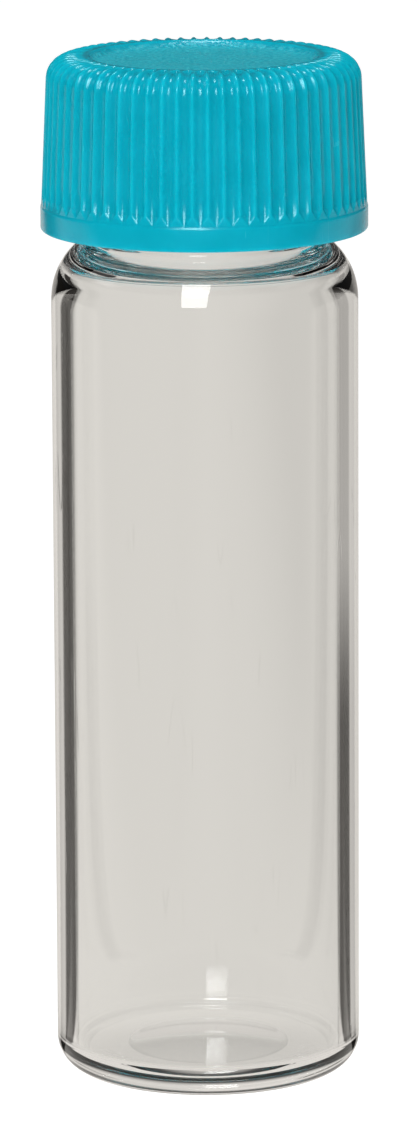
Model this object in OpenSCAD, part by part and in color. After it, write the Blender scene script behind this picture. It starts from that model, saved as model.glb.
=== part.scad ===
// Glass sample vial with a ribbed screw cap and a sealing liner.
// Millimetres. The origin is the centre of the base, on the surface that the vial stands on, and +Z is up.
// The cap is modelled screwed down: the liner is seated on the glass lip and under the cap's ceiling.

/* [Glass body] */
// Outside diameter of the body
body_d = 21.2; // [20:0.1:26]
// Height of the glass from the table to the lip
vial_h = 69.4; // [40:0.1:110]
// Thickness of the body wall
wall = 1.3; // [0.8:0.05:1.8]
// Thickness of the bottom, measured at its edge
base_t = 2; // [0.8:0.05:3]
// Rise of the bottom's centre above its standing ring
push_up = 0.5; // [0.2:0.05:1.2]
// Radius of the outside heel
heel_r = 2.3; // [1.2:0.1:3]
// Width of the ring that the vial stands on, inside the heel
stand_w = 2.8; // [0.4:0.1:4]
// Radius inside, between the wall and the bottom
floor_r = 0.5; // [0.3:0.1:2.5]
// Radius of the outside of the shoulder
shoulder_r = 5.05; // [3.8:0.05:6]
// Radius inside, between the wall and the underside of the shoulder
inner_shoulder_r = 1.3; // [0.8:0.1:2.2]
// Height from the underside of the shoulder up to the neck's foot fillet
shoulder_t = 2.5; // [1.8:0.1:3.4]

/* [Neck and glass thread] */
// Diameter of the neck between the threads
neck_d = 15.7; // [13.5:0.1:17]
// Thickness of the neck wall
neck_wall = 1.4; // [1:0.05:2]
// Height of the neck from its foot fillet to the lip
neck_h = 9.78; // [9:0.01:14]
// Radius of the outside fillet at the foot of the neck
foot_r = 0.9; // [0.5:0.05:1.4]
// Radius of the inside fillet at the foot of the neck
inner_foot_r = 0.8; // [0.5:0.1:2]
// Rounding of the lip, inside and outside
lip_r = 0.45; // [0.2:0.05:0.6]
// Rise of the screw thread in one turn
pitch = 3.175; // [2.9:0.005:4]
// How far the thread stands out of the neck
thread_h = 1; // [0.6:0.05:1.2]
// Width of the glass thread at its root
thread_w = 1.9; // [1.2:0.05:2]
// Turns of glass thread, run-outs included
thread_turns = 1.15; // [0.8:0.05:1.3]
// Distance from the lip down to the top of the thread
thread_drop = 1; // [0.6:0.05:1.6]

/* [Cap] */
// Thickness of the skirt's wall, from its bore to its ribs, at the rim
skirt_wall = 2.24; // [1.9:0.02:3]
// Gap between the skirt's bore and the glass thread
bore_gap = 0.2; // [0.12:0.01:0.4]
// Gap between the shoulder and the cap's rim, straight down from the skirt's bore
shoulder_gap = 1.26; // [0.6:0.02:2]
// Thickness of the cap's top, inside the sunken disc
top_t = 0.9; // [0.6:0.05:1.6]
// Depth of the sunken disc in the top
recess_depth = 0.45; // [0.25:0.05:0.8]
// Width of the raised ring round the sunken disc, in plan, with the rounded edge
ring_w = 3; // [2.4:0.1:4]
// Radius of the rounded top edge
edge_r = 1.6; // [0.8:0.1:2]
// Draft of the ribbed side, in degrees
draft = 2.5; // [0:0.5:3]
// Height of the plain band at the rim
band_h = 1.65; // [1:0.05:2.5]
// How far the plain band stands out past the ribs
band_step = 0.06; // [0.02:0.01:0.2]
// Width of the cap's thread at its root
cap_thread_w = 1.15; // [0.8:0.05:1.2]
// Turns of thread inside the cap, run-outs included
cap_thread_turns = 1.1; // [0.8:0.05:1.3]
// Gap between the crest of the cap's thread and the neck
crest_gap = 0.15; // [0.1:0.01:0.3]

/* [Ribs] */
// Number of ribs round the cap
ribs = 65; // [48:1:70]
// Height of the ribs above the hollows between them
rib_h = 0.34; // [0.2:0.02:0.4]
// Width of a rib's crest at the rim
rib_w = 0.22; // [0.14:0.02:0.3]
// Width of a rib at its foot, at the rim
rib_foot_w = 0.5; // [0.4:0.02:0.6]
// Height of the ribs at the edge of the sunken disc, as a share of rib_h
rib_end = 0.65; // [0.3:0.05:1]
// Length of the pointed lower end of each hollow
groove_tip = 1.1; // [0.5:0.1:2]

/* [Liner] */
// Thickness of the sealing liner
liner_t = 0.75; // [0.5:0.05:1.5]
// Gap between the liner's edge and the skirt's bore
liner_gap = 0.15; // [0.05:0.05:0.4]

/* [Hidden] */
$fn = 128;
// How far a cutter reaches past the surface that it opens
over = 0.5;

body_r = body_d / 2;
neck_r = neck_d / 2;
neck_bore_r = neck_r - neck_wall;
thread_r = neck_r + thread_h;

// Shoulder: place of the outside arc's centre, and height of the inside arc's
arc_x = body_r - shoulder_r;
neck_foot_z = vial_h - neck_h;
shoulder_z = neck_foot_z - foot_rise(arc_x, shoulder_r, neck_r, foot_r);
inner_shoulder_z = neck_foot_z - shoulder_t - inner_shoulder_r;

// Cap: heights are measured from its rim and follow the stack on the glass lip
bore_r = thread_r + bore_gap;
rim_r = bore_r + skirt_wall;
rim_z = shoulder_z + arc_height(shoulder_r, bore_r) + shoulder_gap;
ceiling_h = vial_h + liner_t - rim_z;
cap_h = ceiling_h + top_t + recess_depth;
rib_foot_r = rim_r - band_step;
edge_z = cap_h - edge_r;
edge_x = rib_foot_r - (edge_z - band_h) * tan(draft) - edge_r;
recess_r = edge_x + edge_r - ring_w;
// Chamfer at the mouth of the bore
lead_in = 0.4;
// The ribbed jacket overlaps the plain core between these two radii, and by this much in height
jacket_r = bore_r + 0.4;
core_r = bore_r + 0.55;
grip = 0.3;
// Across one rib: place as a share of the pitch and depth as a share of rib_h, at its crest, foot and hollow
crest_share = rib_w * ribs / (2 * PI * rim_r);
foot_share = rib_foot_w * ribs / (2 * PI * rim_r);
rib_places = [-crest_share / 2, crest_share / 2, foot_share / 2, 0.5, 1 - foot_share / 2];
rib_depths = [0, 0, 0.75, 1, 0.75];
// How the hollow's pointed end opens: depth of each place across the rib as a share of its full depth
tip_depths = [0, 0, 0.15, 0.6, 0.15];
edge_steps = 4;

// Threads: both follow the same helix, the cap's half a pitch below the glass's
thread_top_z = vial_h - thread_drop - thread_w / 2;
cap_thread_top_z = thread_top_z - pitch / 2;
// Angle from the top of the glass thread back to the top of the cap's thread
cap_thread_lag = 90;
// Angle over which a thread fades out at each end
runout = 40;
// Sections in one turn of thread
thread_steps = 36;
// How far a thread's root and the edges of its ridge lie inside the wall that carries it
thread_sink = 0.3;
root_sink = 0.12;

// Height of an arc about the shoulder's centre at a distance x from the axis
function arc_height(r, x) = sqrt(max(0, r * r - pow(max(0, x - arc_x), 2)));

// Height from a shoulder arc's centre, x from the axis, to the centre of the fillet between it and the neck
function foot_rise(x, r, neck, foot) = sqrt(pow(r + foot, 2) - pow(neck + foot - x, 2));

// Share of the full thread height at an angle from the start of a thread: it fades at both ends
function fade(a, length) = sin(90 * min(1, a / runout, (length - a) / runout));

// One section of a thread: a round ridge on a sunken root, as points in the plane at angle a.
// grow is the share of its full height that it has there.
function thread_ring(r, side, h, w, a, z, grow) = [
    for (p = concat([[-w / 2, -thread_sink]],
                    [for (t = [0:30:180]) [-w / 2 * cos(t), (h + root_sink) * grow * sin(t) - root_sink]],
                    [[w / 2, -thread_sink]]))
        [(r + side * p[1]) * cos(a), (r + side * p[1]) * sin(a), z + p[0]]
];

// Right-hand thread whose upper end is at angle end_a and height top_z; side is 1 outwards and -1 inwards
module thread(r, side, h, w, turns, end_a, top_z) {
    length = 360 * turns;
    steps = ceil(turns * thread_steps);
    rings = [for (i = [0:steps])
        let (a = length * i / steps, back = length - a)
            thread_ring(r, side, h, w, end_a - back, top_z - pitch * back / 360, fade(a, length))];
    n = len(rings[0]);
    quads = [for (i = [0:steps - 1], j = [0:n - 1])
        let (a = i * n + j, b = i * n + (j + 1) % n) side > 0 ? [a, b, b + n, a + n] : [a, a + n, b + n, b]];
    first = [for (j = [0:n - 1]) side > 0 ? n - 1 - j : j];
    last = [for (j = [0:n - 1]) steps * n + (side > 0 ? j : n - 1 - j)];
    polyhedron([for (ring = rings) each ring], concat(quads, [first, last]));
}

// Half section of a bottle shape: body, shoulder arc with its centre at arc_z, foot fillet and neck up to top
module bottle_section(r, shoulder, arc_z, neck, foot, bottom, corner, top) {
    centre = r - shoulder;
    rise = foot_rise(centre, shoulder, neck, foot);
    difference() {
        union() {
            polygon([[0, bottom], [r - corner, bottom], [r, bottom + corner], [r, arc_z],
                     [centre, arc_z], [neck + foot, arc_z + rise], [neck, arc_z + rise],
                     [neck, top], [0, top]]);
            translate([r - corner, bottom + corner]) circle(r = corner);
            intersection() {
                translate([centre, arc_z]) circle(r = shoulder);
                translate([0, arc_z]) square([r, rise]);
            }
        }
        translate([neck + foot, arc_z + rise]) circle(r = foot);
    }
}

// Round shape that lifts the middle of the bottom by push_up, over a ring of radius r at height z
module push_up_section(r, z) {
    dome = (r * r + push_up * push_up) / (2 * push_up);
    translate([0, z + push_up - dome]) circle(r = dome, $fn = 512);
}

module glass_section() {
    intersection() {
        difference() {
            bottle_section(body_r, shoulder_r, shoulder_z, neck_r, foot_r, 0, heel_r, vial_h);
            difference() {
                bottle_section(body_r - wall, inner_shoulder_r, inner_shoulder_z, neck_bore_r, inner_foot_r,
                               base_t, floor_r, vial_h + over);
                push_up_section(body_r - wall - floor_r, base_t);
            }
            push_up_section(body_r - heel_r - stand_w, 0);
            translate([neck_r, vial_h]) lip_cut();
            translate([neck_bore_r, vial_h]) mirror([1, 0]) lip_cut();
        }
        translate([0, -1]) square([body_r + 1, vial_h + 2]);
    }
}

// What rounding the lip's outer corner takes away, with that corner at the origin
module lip_cut() {
    difference() {
        translate([-lip_r, -lip_r]) square([lip_r + over, lip_r + over]);
        translate([-lip_r, -lip_r]) circle(r = lip_r, $fn = 48);
    }
}

module vial() {
    color([0.86, 0.92, 0.91, 0.45]) {
        rotate_extrude() glass_section();
        thread(neck_r, 1, thread_h, thread_w, thread_turns, 0, thread_top_z);
    }
}

// Half section of the cap's plain core, its rim at height 0
module core_section() {
    disc_z = cap_h - recess_depth;
    polygon([[bore_r + lead_in, 0], [rim_r, 0], [rim_r, band_h], [core_r, band_h],
             [core_r, disc_z - grip / 2], [recess_r + grip, disc_z], [0, disc_z], [0, ceiling_h],
             [bore_r, ceiling_h], [bore_r, lead_in]]);
}

// Distance from the axis to the ribs' crests at a height on the ribbed side
function side_r(z) = edge_x + edge_r + (edge_z - z) * tan(draft);

// One ring of the jacket: the crests lie at (x, z), and the hollows lie deeper against the direction a in the
// plane of the axis. depths holds the depth at each place across a rib.
function rib_ring(x, z, a, depths) = [
    for (i = [0:ribs - 1], j = [0:len(rib_places) - 1])
        let (turn = (i + rib_places[j]) * 360 / ribs, r = x - depths[j] * cos(a))
            [r * cos(turn), r * sin(turn), z - depths[j] * sin(a)]
];

// The ribbed jacket as a closed ring: up the side, over the edge, along the top and back inside the core
module jacket() {
    full = rib_h * rib_depths;
    plain = 0 * rib_depths;
    shelf_z = cap_h - recess_depth - grip;
    rings = concat(
        [rib_ring(side_r(band_h - grip), band_h - grip, 0, plain),
         rib_ring(side_r(band_h + grip / 2), band_h + grip / 2, 0, plain),
         rib_ring(side_r(band_h + groove_tip / 2), band_h + groove_tip / 2, 0, rib_h * tip_depths),
         rib_ring(side_r(band_h + groove_tip), band_h + groove_tip, 0, full)],
        [for (k = [0:edge_steps])
            let (a = 90 * k / edge_steps)
                rib_ring(edge_x + edge_r * cos(a), edge_z + edge_r * sin(a), a, full)],
        [rib_ring(recess_r, cap_h, 90, rib_end * full),
         rib_ring(recess_r, shelf_z, 0, plain),
         rib_ring(jacket_r, shelf_z, 0, plain),
         rib_ring(jacket_r, band_h - grip, 0, plain)]);
    n = len(rings[0]);
    m = len(rings);
    polyhedron([for (ring = rings) each ring],
               [for (i = [0:m - 1], j = [0:n - 1])
                   let (a = i * n + j, b = i * n + (j + 1) % n, up = (i + 1) % m * n - i * n)
                       each [[a, a + up, b + up], [a, b + up, b]]]);
}

module cap() {
    color([0, 0.66, 0.76]) translate([0, 0, rim_z]) {
        rotate_extrude() core_section();
        jacket();
        thread(bore_r, -1, bore_r - neck_r - crest_gap, cap_thread_w, cap_thread_turns, -cap_thread_lag,
               cap_thread_top_z - rim_z - pitch * cap_thread_lag / 360);
    }
}

module cap_liner() {
    color([0.93, 0.92, 0.88]) translate([0, 0, vial_h]) cylinder(r = bore_r - liner_gap, h = liner_t);
}

vial();
cap();
cap_liner();
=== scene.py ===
"""Glass sample vial with a ribbed screw cap and a sealing liner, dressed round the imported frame.

Lengths in the classes are millimetres and angles are degrees. Meshes and nodes are in metres, in the frame's
axes: +Z is up, and the origin is the centre of the base, on the surface that the vial stands on.
"""

import logging
import math
from dataclasses import dataclass, field, fields
from enum import Enum

import bmesh
import bpy
from mathutils import Matrix, Vector


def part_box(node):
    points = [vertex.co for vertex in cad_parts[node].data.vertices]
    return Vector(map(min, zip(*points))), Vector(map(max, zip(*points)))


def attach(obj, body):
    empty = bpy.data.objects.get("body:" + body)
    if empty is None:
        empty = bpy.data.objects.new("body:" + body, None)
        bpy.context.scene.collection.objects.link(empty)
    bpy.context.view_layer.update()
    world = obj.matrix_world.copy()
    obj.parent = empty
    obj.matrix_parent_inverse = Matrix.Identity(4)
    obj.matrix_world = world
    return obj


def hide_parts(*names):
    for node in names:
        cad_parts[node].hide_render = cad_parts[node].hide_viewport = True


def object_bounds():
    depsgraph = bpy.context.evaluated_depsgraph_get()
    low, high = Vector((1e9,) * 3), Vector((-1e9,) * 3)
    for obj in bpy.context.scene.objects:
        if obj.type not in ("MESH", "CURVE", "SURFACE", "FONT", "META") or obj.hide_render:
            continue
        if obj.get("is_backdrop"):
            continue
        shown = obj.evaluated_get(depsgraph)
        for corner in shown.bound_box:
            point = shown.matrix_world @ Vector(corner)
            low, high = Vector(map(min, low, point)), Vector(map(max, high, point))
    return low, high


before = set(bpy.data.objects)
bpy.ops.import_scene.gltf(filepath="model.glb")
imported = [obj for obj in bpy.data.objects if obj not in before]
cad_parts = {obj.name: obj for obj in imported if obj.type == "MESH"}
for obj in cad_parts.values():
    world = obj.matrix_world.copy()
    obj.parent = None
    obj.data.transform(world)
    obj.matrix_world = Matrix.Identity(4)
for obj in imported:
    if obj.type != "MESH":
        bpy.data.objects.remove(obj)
SOLID_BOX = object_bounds()

MM = 0.001
NEAR = 1e-6
LOG = logging.getLogger("vial")

Point = tuple[float, float]
Colour = tuple[float, float, float, float]
Socket, Tree, Material = bpy.types.NodeSocket, bpy.types.NodeTree, bpy.types.Material
Piece, Mesh, Vertex = bpy.types.Object, bpy.types.Mesh, bmesh.types.BMVert
Feed = Socket | float | int | str | tuple | Material
Feeds = dict[str | int, Feed]


class Body(Enum):
    """The moving bodies of the frame."""

    VIAL = "vial"
    LINER = "liner"
    CAP = "cap"


class Mask(Enum):
    """Values stored on the vertices, between 0 and 1, that the trees and the materials read."""

    THREADED = "threaded_wall"
    CREST = "rib_crest"
    DISC = "sunken_disc"


def rgb(red: float, green: float, blue: float) -> Colour:
    """A linear colour with full alpha."""
    return (red, green, blue, 1.0)


def titled(name: str) -> str:
    """The name of the socket that takes a field's value."""
    return name.replace("_", " ").title()


def arc(centre: Point, radius: float, start: float, end: float, steps: int) -> list[Point]:
    """Points along an arc, both ends included; at 0 degrees it points away from the axis, and at 90 up."""
    angles = [math.radians(start + (end - start) * i / steps) for i in range(steps + 1)]
    return [(centre[0] + radius * math.cos(a), centre[1] + radius * math.sin(a)) for a in angles]


def line(start: Point, end: Point, steps: int) -> list[Point]:
    """Points along a straight stretch of an outline, both ends included."""
    return [
        (start[0] + (end[0] - start[0]) * i / steps, start[1] + (end[1] - start[1]) * i / steps)
        for i in range(steps + 1)
    ]


def spread(start: float, end: float, steps: int) -> list[float]:
    """Evenly spaced values after start, up to and with end."""
    return [start + (end - start) * i / steps for i in range(1, steps + 1)]


class Wiring:
    """Adds nodes to one node tree and joins their sockets."""

    def __init__(self, tree: Tree) -> None:
        """Keeps the tree that the nodes go into."""
        self.tree = tree

    def feed(self, socket: Socket, value: Feed) -> None:
        """Links an output to an input, or sets the input's own value."""
        if isinstance(value, Socket):
            self.tree.links.new(value, socket)
        else:
            socket.default_value = value

    def node(self, kind: str, feeds: Feeds | None = None, **settings: object) -> bpy.types.Node:
        """Adds one node.

        Args:
            kind: Blender's name for the type of node.
            feeds: what goes into its inputs, by name or place.
            settings: the node's other properties.

        Returns:
            The new node.
        """
        made = self.tree.nodes.new(kind)
        for name, value in settings.items():
            setattr(made, name, value)
        for key, value in (feeds or {}).items():
            self.feed(made.inputs[key], value)
        return made

    def math(self, operation: str, *values: Feed, clamp: bool = False) -> Socket:
        """Adds a Math node, clamped between 0 and 1 if asked for, and gives its result."""
        made = self.node("ShaderNodeMath", dict(enumerate(values)), operation=operation, use_clamp=clamp)
        return made.outputs[0]

    def vector(self, operation: str, *values: Feed, scale: Feed | None = None) -> Socket:
        """Adds a Vector Math node whose result is a vector.

        Args:
            operation: Blender's name for the sum.
            values: its vector inputs, in order.
            scale: the factor of a SCALE.

        Returns:
            The result's socket.
        """
        made = self.node("ShaderNodeVectorMath", dict(enumerate(values)), operation=operation)
        if scale is not None:
            self.feed(made.inputs["Scale"], scale)
        return made.outputs[0]

    def ramp(self, value: Feed, low: Feed, high: Feed, start: Feed = 0.0, end: Feed = 1.0) -> Socket:
        """Turns a value smoothly from start into end as it goes from low to high."""
        feeds = {"Value": value, "From Min": low, "From Max": high, "To Min": start, "To Max": end}
        return self.node("ShaderNodeMapRange", feeds, interpolation_type="SMOOTHSTEP").outputs[0]

    def blend(self, share: Feed, first: Feed, second: Feed) -> Socket:
        """Mixes two colours; the share is how much of the second shows."""
        return self.node("ShaderNodeMix", {0: share, 6: first, 7: second}, data_type="RGBA").outputs[2]

    def noise(self, place: Feed, scale: Feed, detail: float = 1.0, roughness: float = 0.5) -> Socket:
        """Adds a Noise Texture; the scale is waves in a metre, and detail the number of finer layers."""
        feeds = {"Vector": place, "Scale": scale, "Detail": detail, "Roughness": roughness}
        return self.node("ShaderNodeTexNoise", feeds).outputs[0]

    def group(self, tree: Tree, feeds: Feeds) -> bpy.types.NodeOutputs:
        """Places a shared group.

        Args:
            tree: the group.
            feeds: what goes into its inputs, by name.

        Returns:
            Its outputs.
        """
        made = self.node("ShaderNodeGroup", node_tree=tree)
        for name, value in feeds.items():
            self.feed(made.inputs[name], value)
        return made.outputs

    def mask(self, name: Mask) -> Socket:
        """A value stored on the vertices."""
        return self.node("ShaderNodeAttribute", attribute_name=name.value).outputs["Fac"]

    def place(self) -> Socket:
        """The piece's own coordinates."""
        return self.node("ShaderNodeTexCoord").outputs["Object"]

    def rays(self) -> tuple[Socket, Socket, Socket]:
        """Whether a ray comes from the camera, through or off glass or gloss, and out of glass."""
        kinds = self.node("ShaderNodeLightPath").outputs
        out = kinds["Is Transmission Ray"]
        return kinds["Is Camera Ray"], self.math("MAXIMUM", kinds["Is Glossy Ray"], out), out

    def relief(self, height: Feed) -> Socket:
        """The normal of a surface that has this height on it, in metres."""
        return self.node("ShaderNodeBump", {"Strength": 1.0, "Distance": 1.0, "Height": height}).outputs[0]


def emptied(owner: Material | bpy.types.World) -> Wiring:
    """Turns a material's or world's nodes on and clears them.

    Args:
        owner: the material or the world.

    Returns:
        The wiring of its empty tree.
    """
    owner.use_nodes = True
    owner.node_tree.nodes.clear()
    return Wiring(owner.node_tree)


class Group(Wiring):
    """A node group with named inputs and outputs."""

    def __init__(self, name: str, kind: str, inputs: dict[str, str], outputs: dict[str, str]) -> None:
        """Makes an empty group.

        Args:
            name: the group's name.
            kind: ShaderNodeTree or GeometryNodeTree.
            inputs: the type of socket of each named input.
            outputs: the type of socket of each named output.
        """
        super().__init__(bpy.data.node_groups.new(name, kind))
        for direction, sockets in (("INPUT", inputs), ("OUTPUT", outputs)):
            for label, socket in sockets.items():
                self.tree.interface.new_socket(name=label, in_out=direction, socket_type=socket)
        self.given = self.node("NodeGroupInput").outputs
        self.result = self.node("NodeGroupOutput").inputs

    def dressed(self, name: str, shape: Socket) -> None:
        """Ends a geometry tree: a real mesh with the tree's material on it.

        Args:
            name: the output.
            shape: the finished shape.
        """
        solid = self.node("GeometryNodeRealizeInstances", {0: shape}).outputs[0]
        feeds = {"Geometry": solid, "Material": self.given["Material"]}
        self.feed(self.result[name], self.node("GeometryNodeSetMaterial", feeds).outputs[0])


FLOAT_IN, VECTOR_IN, COLOUR_IN = "NodeSocketFloat", "NodeSocketVector", "NodeSocketColor"
INT_IN, SHAPE_IN, MATERIAL_IN = "NodeSocketInt", "NodeSocketGeometry", "NodeSocketMaterial"


@dataclass(frozen=True)
class WearMarks:
    """Shape of the fine marks that every finish of the object shows in its own strength."""

    turn: tuple[float, float, float] = (0.5, 0.3, 0.9)
    stretch: tuple[float, float, float] = (1.0, 1.0, 0.06)
    scratch_w: float = 0.006
    patch_scale: float = 0.35
    patch_level: float = 0.72
    patch_gain: float = 0.4
    patch_soft: float = 0.06
    dot: Point = (0.06, 0.14)
    mottle_detail: float = 3.0

    def tree(self) -> Tree:
        """Makes the shared group.

        Returns:
            A group from a place and the sizes of the marks to masks of scratches, specks and mottling.
        """
        sizes = ("Scratch Scale", "Scratch Share", "Speck Scale", "Speck Share", "Mottle Scale")
        inputs = {"Place": VECTOR_IN} | dict.fromkeys(sizes, FLOAT_IN)
        outputs = dict.fromkeys(("Scratches", "Specks", "Mottle"), FLOAT_IN)
        g = Group("wear_marks", "ShaderNodeTree", inputs, outputs)
        place, scale = g.given["Place"], g.given["Scratch Scale"]
        feeds = {"Vector": place, "Rotation": self.turn, "Scale": self.stretch}
        stretched = g.node("ShaderNodeMapping", feeds).outputs[0]
        lines = g.math("ABSOLUTE", g.math("SUBTRACT", g.noise(stretched, scale), 0.5))
        thin = g.ramp(lines, 0.0, self.scratch_w, 1.0, 0.0)
        patches = g.noise(place, g.math("MULTIPLY", scale, self.patch_scale))
        gain = g.math("MULTIPLY", g.given["Scratch Share"], self.patch_gain)
        level = g.math("SUBTRACT", self.patch_level, gain)
        worn = g.ramp(patches, level, g.math("ADD", level, self.patch_soft))
        g.feed(g.result["Scratches"], g.math("MULTIPLY", thin, worn))
        cells = g.node("ShaderNodeTexVoronoi", {"Vector": place, "Scale": g.given["Speck Scale"]}).outputs
        chance = g.node("ShaderNodeSeparateColor", {0: cells["Color"]}).outputs[0]
        chosen = g.math("LESS_THAN", chance, g.given["Speck Share"])
        dots = g.ramp(cells["Distance"], *self.dot, 1.0, 0.0)
        g.feed(g.result["Specks"], g.math("MULTIPLY", dots, chosen))
        g.feed(g.result["Mottle"], g.noise(place, g.given["Mottle Scale"], self.mottle_detail))
        return g.tree


@dataclass(frozen=True)
class SkinGrain:
    """Shape of the fine skin of a moulded or foamed surface."""

    detail: float = 2.0
    roughness: float = 0.6
    pits: float = 0.6

    def tree(self) -> Tree:
        """Makes the shared group.

        Returns:
            A group from a place, a scale and a depth to a height in metres.
        """
        inputs = {"Place": VECTOR_IN, "Scale": FLOAT_IN, "Depth": FLOAT_IN}
        g = Group("skin_grain", "ShaderNodeTree", inputs, {"Height": FLOAT_IN})
        place, scale = g.given["Place"], g.given["Scale"]
        coarse = g.noise(place, scale, self.detail, self.roughness)
        cells = g.node("ShaderNodeTexVoronoi", {"Vector": place, "Scale": scale}).outputs
        height = g.math("ADD", coarse, g.math("MULTIPLY", cells["Distance"], self.pits))
        g.feed(g.result["Height"], g.math("MULTIPLY", height, g.given["Depth"]))
        return g.tree


WEAR = WearMarks().tree()
GRAIN = SkinGrain().tree()


@dataclass(frozen=True)
class Grain:
    """Size and depth of the shared grain on one finish."""

    size: float
    depth: float

    def add(self, wiring: Wiring, place: Socket) -> Socket:
        """Adds the shared group with these values and gives its height."""
        feeds = {"Place": place, "Scale": 1 / (self.size * MM), "Depth": self.depth * MM}
        return wiring.group(GRAIN, feeds)["Height"]


@dataclass(frozen=True)
class Marks:
    """How strongly the shared wear shows on one finish; the scales are marks in a metre."""

    scratch_scale: float
    scratch_share: float
    speck_scale: float
    speck_share: float
    mottle_scale: float

    def add(self, wiring: Wiring, place: Socket) -> bpy.types.NodeOutputs:
        """Adds the shared group with these values."""
        feeds = {titled(mark.name): getattr(self, mark.name) for mark in fields(self)}
        return wiring.group(WEAR, {"Place": place} | feeds)


@dataclass(frozen=True)
class Finish:
    """What every finish of the object has: a name and the strength of the shared marks."""

    name: str
    marks: Marks

    def material(self) -> Material:
        """Builds the finish.

        Returns:
            A material whose nodes dress() has filled in.
        """
        made = bpy.data.materials.new(self.name)
        wiring = emptied(made)
        wiring.node("ShaderNodeOutputMaterial", {"Surface": self.dress(wiring)})
        return made

    def dress(self, wiring: Wiring) -> Socket:
        """Adds the finish's own nodes and gives the shader; each finish has its own."""
        raise NotImplementedError


@dataclass(frozen=True)
class ClearGlass(Finish):
    """Clear drawn glass with faint draw lines, a little dust and light for what lies behind it."""

    tint: Colour = rgb(0.985, 0.992, 0.989)
    dusty: Colour = rgb(0.78, 0.78, 0.76)
    ior: float = 1.5
    roughness: float = 0.0
    dusty_roughness: float = 0.3
    scratch_dirt: float = 0.35
    scratch_depth: float = 0.002
    draw_line: float = 4.0
    draw_stretch: tuple[float, float, float] = (1.0, 1.0, 0.05)
    draw_depth: float = 0.0016
    shadow_tint: Colour = rgb(0.94, 0.96, 0.955)

    def dress(self, wiring: Wiring) -> Socket:
        """Adds the glass, clear to the lamps' rays.

        Args:
            wiring: the material's nodes.

        Returns:
            The shader's socket.
        """
        place = wiring.place()
        marks = self.marks.add(wiring, place)
        scratched = wiring.math("MULTIPLY", marks["Scratches"], self.scratch_dirt)
        dirt = wiring.math("MAXIMUM", marks["Specks"], scratched)
        drawn = wiring.node("ShaderNodeMapping", {"Vector": place, "Scale": self.draw_stretch}).outputs[0]
        waves = wiring.noise(drawn, 1 / (self.draw_line * MM))
        height = wiring.math("MULTIPLY", waves, self.draw_depth * MM)
        cut = wiring.math("MULTIPLY", marks["Scratches"], -self.scratch_depth * MM)
        feeds = {
            "Base Color": wiring.blend(dirt, self.tint, self.dusty),
            "Roughness": wiring.math("MULTIPLY_ADD", dirt, self.dusty_roughness, self.roughness),
            "IOR": self.ior,
            "Transmission Weight": 1.0,
            "Normal": wiring.relief(wiring.math("ADD", height, cut)),
        }
        glass = wiring.node("ShaderNodeBsdfPrincipled", feeds).outputs[0]
        clear = wiring.node("ShaderNodeBsdfTransparent", {"Color": self.shadow_tint}).outputs[0]
        lamps = wiring.node("ShaderNodeLightPath").outputs["Is Shadow Ray"]
        return wiring.node("ShaderNodeMixShader", {0: lamps, 1: glass, 2: clear}).outputs[0]


@dataclass(frozen=True)
class MouldedPlastic(Finish):
    """Satin moulded plastic with scuffs: paler on the crests, stippled in the sunken disc, with a painted
    sheen there.
    """

    colour: Colour = rgb(0.0015, 0.43, 0.56)
    deep: Colour = rgb(0.001, 0.4, 0.52)
    worn: Colour = rgb(0.004, 0.46, 0.59)
    scuff: Colour = rgb(0.05, 0.56, 0.65)
    fleck: Colour = rgb(0.01, 0.07, 0.09)
    # painted sheen: a pale grey-cyan in place of the haze that the rough sunken disc reflects
    frost: Colour = rgb(0.06, 0.6, 0.7)
    sheen_tint: Colour = rgb(0.55, 0.95, 1.0)
    mottle: Point = (0.3, 0.7)
    wear_mottle: Point = (0.35, 0.75)
    wear_share: Point = (0.15, 0.55)
    scuff_share: float = 0.35
    fleck_share: float = 0.8
    # where and how strongly the painted sheen shows in the disc
    sheen_mottle: Point = (0.42, 0.62)
    sheen_share: Point = (0.1, 0.85)
    roughness: float = 0.2
    disc_roughness: float = 0.36
    uneven: float = 0.2
    ior: float = 1.49
    skin: Grain = Grain(0.3, 0.004)
    stipple: Grain = Grain(0.32, 0.1)
    scatter: float = 0.8
    scatter_reach: tuple[float, float, float] = (0.1, 1.0, 1.0)
    scatter_depth: float = 1.1

    def dress(self, wiring: Wiring) -> Socket:
        """Adds the plastic.

        Args:
            wiring: the material's nodes.

        Returns:
            The shader's socket.
        """
        place = wiring.place()
        marks = self.marks.add(wiring, place)
        disc = wiring.mask(Mask.DISC)
        body = wiring.blend(wiring.ramp(marks["Mottle"], *self.mottle), self.deep, self.colour)
        worn = wiring.ramp(marks["Mottle"], *self.wear_mottle, *self.wear_share)
        body = wiring.blend(wiring.math("MULTIPLY", wiring.mask(Mask.CREST), worn), body, self.worn)
        for mark, share, colour in (
            ("Scratches", self.scuff_share, self.scuff), ("Specks", self.fleck_share, self.fleck)
        ):
            body = wiring.blend(wiring.math("MULTIPLY", marks[mark], share), body, colour)
        # painted sheen: pale flecks in the sunken disc in place of the haze its rough surface reflects
        frost = wiring.noise(place, 1 / (self.stipple.size * MM))
        frost = wiring.ramp(frost, *self.sheen_mottle, *self.sheen_share)
        body = wiring.blend(wiring.math("MULTIPLY", frost, disc), body, self.frost)
        rough = wiring.ramp(disc, 0.0, 1.0, self.roughness, self.disc_roughness)
        rough = wiring.math("MULTIPLY_ADD", wiring.math("SUBTRACT", marks["Mottle"], 0.5), self.uneven, rough)
        rough = wiring.math("MULTIPLY_ADD", marks["Scratches"], self.uneven, rough)
        skin, stipple = (grain.add(wiring, place) for grain in (self.skin, self.stipple))
        feeds = {
            "Base Color": body,
            "Roughness": rough,
            "IOR": self.ior,
            "Specular Tint": self.sheen_tint,
            "Subsurface Weight": self.scatter,
            "Subsurface Radius": self.scatter_reach,
            "Subsurface Scale": self.scatter_depth * MM,
            "Normal": wiring.relief(wiring.math("MULTIPLY_ADD", stipple, disc, skin)),
        }
        return wiring.node("ShaderNodeBsdfPrincipled", feeds).outputs[0]


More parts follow.
